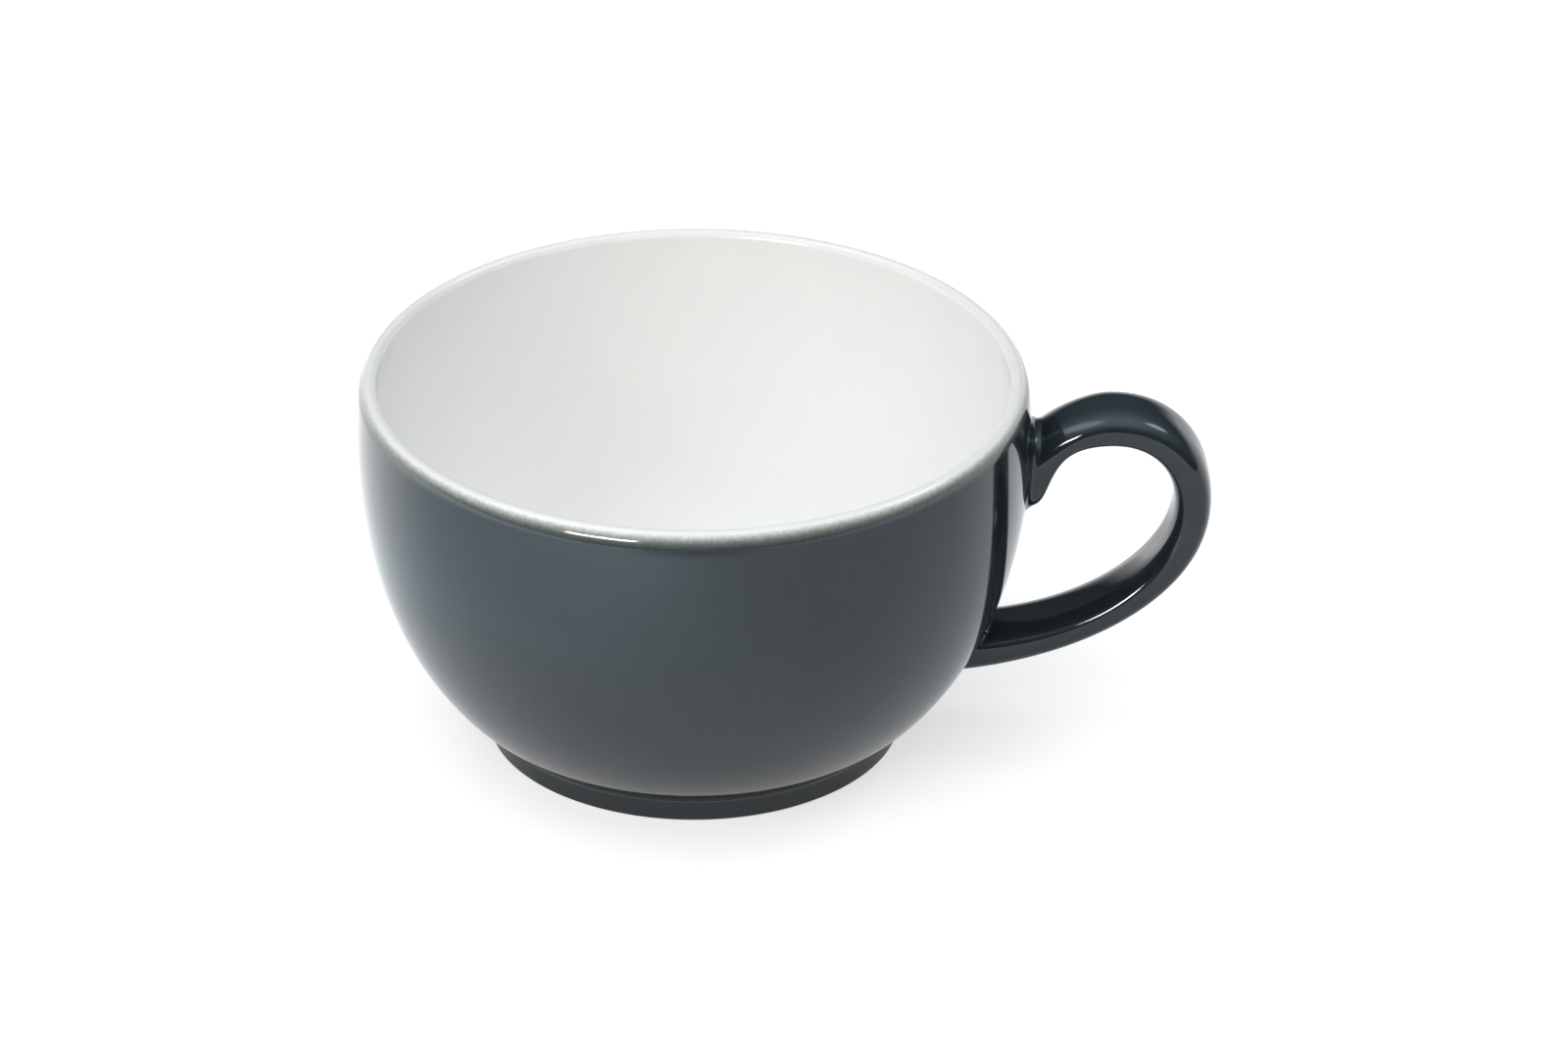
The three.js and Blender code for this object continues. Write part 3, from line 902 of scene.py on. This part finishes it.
# The table as the glaze mirrors it: a lit sheet, whose strength fades over these stretches, in metres
SHEET_END = (-0.25, -0.215)  # along Y, towards the camera
SHEET_FRONT = (-0.19, -0.08)
SHEET_BACK = (-0.02, 0.06)
SHEET_ACROSS = (-0.085, 0.055)  # along X
FOOT_SHADE = (0.035, 0.09)  # out from the cup's axis
SHEET_LEFT, SHEET_RIGHT = 0.95, 0.32
SHEET_AT_FOOT = 0.38
SHEET_PAST_END = 0.03
FRONT_GAIN = 1.38
BACK_EXTRA = 0.25
SHEET_PLAIN, SHEET_COOL = (0.95, 0.97, 1, 1), (0.62, 0.85, 1, 1)


def sheet_glow(tree, rays, place, along, beyond):
    """The lit sheet in the gloss: strongest on the left, shaded at the foot, cool before the cup."""
    foot = (CUP_AXIS_X * MM, 0, 0)
    away = add(tree, "ShaderNodeVectorMath", {0: place, 1: foot}, operation="DISTANCE")
    clear_of_foot = between(tree, away.outputs["Value"], *FOOT_SHADE)
    sideways = between(tree, along["X"], *SHEET_ACROSS, SHEET_LEFT, SHEET_RIGHT, smooth=True)
    ahead = between(tree, along["Y"], *SHEET_FRONT, FRONT_GAIN, 1.0)
    behind = between(tree, along["Y"], *SHEET_BACK)
    level = math_node(tree, "MULTIPLY", sideways, ahead)
    level = between(tree, clear_of_foot, 0.0, 1.0, SHEET_AT_FOOT, level)
    level = math_node(tree, "ADD", level, math_node(tree, "MULTIPLY", behind, BACK_EXTRA))
    level = between(tree, beyond, 0.0, 1.0, level, SHEET_PAST_END)
    in_front = between(tree, behind, 0.0, 1.0, 1.0, 0.0)
    cool = math_node(tree, "MULTIPLY", clear_of_foot, in_front)
    tint = mix(tree, cool, SHEET_PLAIN, SHEET_COOL)
    strength = math_node(tree, "MULTIPLY", rays["Is Glossy Ray"], level)
    return add(tree, "ShaderNodeEmission", {"Color": tint, "Strength": strength}).outputs[0]


def pale_table():
    """White to the camera, a lit sheet to the gloss, and see-through from below."""
    material, tree = new_material("pale_table")
    grain = between(tree, noise(tree, *TABLE_NOISE), *USUAL)
    colour = mix(tree, grain, TABLE_PALE, TABLE_DEEP)
    rays = add(tree, "ShaderNodeLightPath").outputs
    place = add(tree, "ShaderNodeTexCoord").outputs["Object"]
    along = add(tree, "ShaderNodeSeparateXYZ", {"Vector": place}).outputs
    beyond = between(tree, along["Y"], *SHEET_END, 1.0, 0.0)
    unlit = math_node(tree, "MULTIPLY", rays["Is Glossy Ray"], beyond)
    colour = mix(tree, unlit, colour, TABLE_UNLIT)
    surface = add(tree, "ShaderNodeBsdfDiffuse", {"Color": colour}).outputs[0]
    to_camera = math_node(tree, "MULTIPLY", rays["Is Camera Ray"], TABLE_WHITENING)
    white_glow = add(tree, "ShaderNodeEmission", {"Strength": to_camera}).outputs[0]
    mirrored = sheet_glow(tree, rays, place, along, beyond)
    glow = add(tree, "ShaderNodeAddShader", {0: white_glow, 1: mirrored}).outputs[0]
    lit = add(tree, "ShaderNodeAddShader", {0: surface, 1: glow}).outputs[0]
    back = add(tree, "ShaderNodeNewGeometry").outputs["Backfacing"]
    clear = add(tree, "ShaderNodeBsdfTransparent").outputs[0]
    shown = add(tree, "ShaderNodeMixShader", {0: back, 1: lit, 2: clear}).outputs[0]
    output = add(tree, "ShaderNodeOutputMaterial")
    tree.links.new(shown, output.inputs["Surface"])
    return material


def build_floor():
    mesh = bpy.data.meshes.new("table")
    corners = [(TABLE_HALF * x, TABLE_HALF * y, 0) for x, y in ((-1, -1), (1, -1), (1, 1), (-1, 1))]
    mesh.from_pydata(corners, [], [(0, 1, 2, 3)])
    mesh.materials.append(pale_table())
    floor = bpy.data.objects.new("table", mesh)
    floor.location.z = -TABLE_GAP
    bpy.context.scene.collection.objects.link(floor)


# Light and camera


def heading(azimuth, elevation):
    """A direction from the cup, in degrees round from the front to its right and up from level."""
    azimuth, elevation = math.radians(azimuth), math.radians(elevation)
    return np.array(
        [
            math.sin(azimuth) * math.cos(elevation),
            -math.cos(azimuth) * math.cos(elevation),
            math.sin(elevation),
        ]
    )


# The studio's brightness by the sine of the elevation
SKY = [
    (0.0, (0.05, 0.05, 0.05, 1)),
    (0.3, (0.13, 0.13, 0.13, 1)),
    (0.5, (0.29, 0.29, 0.29, 1)),
    (0.66, (0.53, 0.53, 0.53, 1)),
    (0.82, (0.79, 0.79, 0.79, 1)),
    (1.0, (0.98, 0.98, 0.98, 1)),
]
SKY_STRENGTH = 1.35
BACK_STRETCH, BACK_DARKER = (0.0, 0.9), 0.25  # behind the cup the sky's stops lie this much higher
DAYLIGHT, DAYLIGHT_IN_GLOSS = (1, 0.985, 0.96, 1), (0.84, 1, 1.18, 1)

# A pale sweep behind the cup, low down
SWEEP_STRENGTH = 1.5
SWEEP_TO_BACK, SWEEP_UP = (-0.1, 0.5), (0.03, 0.25)

# Round windows in the sky: full within the core and gone at the edge, in degrees from the centre
WINDOW_COLOUR = (0.85, 1, 1.15, 1)
LEFT_WINDOW = {"centre": heading(-88, 63), "core": 4, "edge": 24, "strength": 1.9}
RIGHT_WINDOW = {"centre": heading(109, 50), "core": 3, "edge": 13, "strength": 4.5}


def window(tree, way, centre, core, edge, strength):
    facing = add(tree, "ShaderNodeVectorMath", {0: way, 1: centre}, operation="DOT_PRODUCT")
    gone, full = (math.cos(math.radians(angle)) for angle in (edge, core))
    return between(tree, facing.outputs["Value"], gone, full, 0.0, strength, smooth=True)


def build_world():
    """White to the camera. To the cup, a dim room with a bright ceiling, a backdrop and two windows."""
    world = bpy.data.worlds.new("studio")
    bpy.context.scene.world = world
    world.use_nodes = True
    tree = world.node_tree
    tree.nodes.clear()
    way = add(tree, "ShaderNodeTexCoord").outputs["Generated"]
    split = add(tree, "ShaderNodeSeparateXYZ", {"Vector": way}).outputs
    lower = between(tree, split["Y"], *BACK_STRETCH, 0.0, BACK_DARKER)
    height = math_node(tree, "SUBTRACT", split["Z"], lower)
    rays = add(tree, "ShaderNodeLightPath").outputs
    daylight = mix(tree, rays["Is Glossy Ray"], DAYLIGHT, DAYLIGHT_IN_GLOSS)
    brightness = math_node(tree, "MULTIPLY", ramp(tree, height, SKY), SKY_STRENGTH)
    sky = add(tree, "ShaderNodeBackground", {"Color": daylight, "Strength": brightness}).outputs[0]
    sweep = math_node(
        tree,
        "MULTIPLY",
        between(tree, split["Y"], *SWEEP_TO_BACK),
        between(tree, split["Z"], *SWEEP_UP, SWEEP_STRENGTH, 0.0),
    )
    low = add(tree, "ShaderNodeBackground", {"Strength": sweep}).outputs[0]
    left = window(tree, way, **LEFT_WINDOW)
    right = window(tree, way, **RIGHT_WINDOW)
    both = math_node(tree, "ADD", left, right)
    windows = add(tree, "ShaderNodeBackground", {"Color": WINDOW_COLOUR, "Strength": both}).outputs[0]
    studio = add(tree, "ShaderNodeAddShader", {0: sky, 1: low}).outputs[0]
    studio = add(tree, "ShaderNodeAddShader", {0: studio, 1: windows}).outputs[0]
    backdrop = add(tree, "ShaderNodeBackground").outputs[0]
    seen = rays["Is Camera Ray"]
    shown = add(tree, "ShaderNodeMixShader", {0: seen, 1: studio, 2: backdrop}).outputs[0]
    output = add(tree, "ShaderNodeOutputWorld")
    tree.links.new(shown, output.inputs["Surface"])


def placement(right, up, back, place):
    """The matrix of a lamp or camera that looks away from its back."""
    columns = np.stack([right, up, back], 1)
    return Matrix([[*row, p] for row, p in zip(columns, place)] + [[0, 0, 0, 1]])


AIM_HEIGHT = 0.04  # metres, as the distance
LAMP_DISTANCE = 1.2
AIM = np.array([CUP_AXIS_X * MM, 0, AIM_HEIGHT])


def softbox(name, way, width, height, radiance, colour, glint):
    """An area lamp that looks at the cup. A glint lights the gloss alone, any other the colours."""
    lamp = bpy.data.lights.new(name, "AREA")
    lamp.shape = "RECTANGLE"
    lamp.size, lamp.size_y = width, height
    lamp.energy = radiance * math.pi * width * height
    lamp.color = colour
    holder = bpy.data.objects.new(name, lamp)
    right = np.cross([0, 0, 1], way)
    right /= np.linalg.norm(right)
    holder.matrix_world = placement(right, np.cross(way, right), way, AIM + way * LAMP_DISTANCE)
    holder.visible_diffuse = not glint
    holder.visible_glossy = glint
    bpy.context.scene.collection.objects.link(holder)


# The photograph's viewpoint, from the foot of the cup's axis: metres and degrees
CAMERA_DISTANCE, CAMERA_ELEVATION = 1.3, 30.03
CAMERA_YAW, CAMERA_PITCH, CAMERA_ROLL = 0.71, 28.70, 0.24
SENSOR_WIDTH, LENS = 36, 190.15  # millimetres
CLIP_NEAR, CLIP_FAR = 0.05, 20


def build_camera():
    elevation = math.radians(CAMERA_ELEVATION)
    yaw, pitch, roll = (math.radians(a) for a in (CAMERA_YAW, CAMERA_PITCH, CAMERA_ROLL))
    back, rise = CAMERA_DISTANCE * math.cos(elevation), CAMERA_DISTANCE * math.sin(elevation)
    level = math.cos(pitch)
    ahead = np.array([math.sin(yaw) * level, math.cos(yaw) * level, -math.sin(pitch)])
    right = np.array([math.cos(yaw), -math.sin(yaw), 0])
    up = np.cross(right, ahead)
    turned_right = math.cos(roll) * right + math.sin(roll) * up
    turned_up = -math.sin(roll) * right + math.cos(roll) * up
    data = bpy.data.cameras.new("camera")
    data.sensor_width, data.lens = SENSOR_WIDTH, LENS
    data.clip_start, data.clip_end = CLIP_NEAR, CLIP_FAR
    camera = bpy.data.objects.new("camera", data)
    place = [CUP_AXIS_X * MM, -back, rise]
    camera.matrix_world = placement(turned_right, turned_up, -ahead, place)
    bpy.context.scene.collection.objects.link(camera)
    bpy.context.scene.camera = camera


build_floor()
build_world()
softbox(
    "key_strip",
    heading(-30, 17),
    width=0.46,
    height=0.16,
    radiance=40,
    colour=(1, 0.98, 0.95),
    glint=True,
)
softbox(
    "front_fill",
    heading(-24, 26),
    width=1.4,
    height=1.0,
    radiance=2.0,
    colour=(1, 0.96, 0.91),
    glint=False,
)
build_camera()

bpy.context.scene.view_settings.view_transform = "Standard"
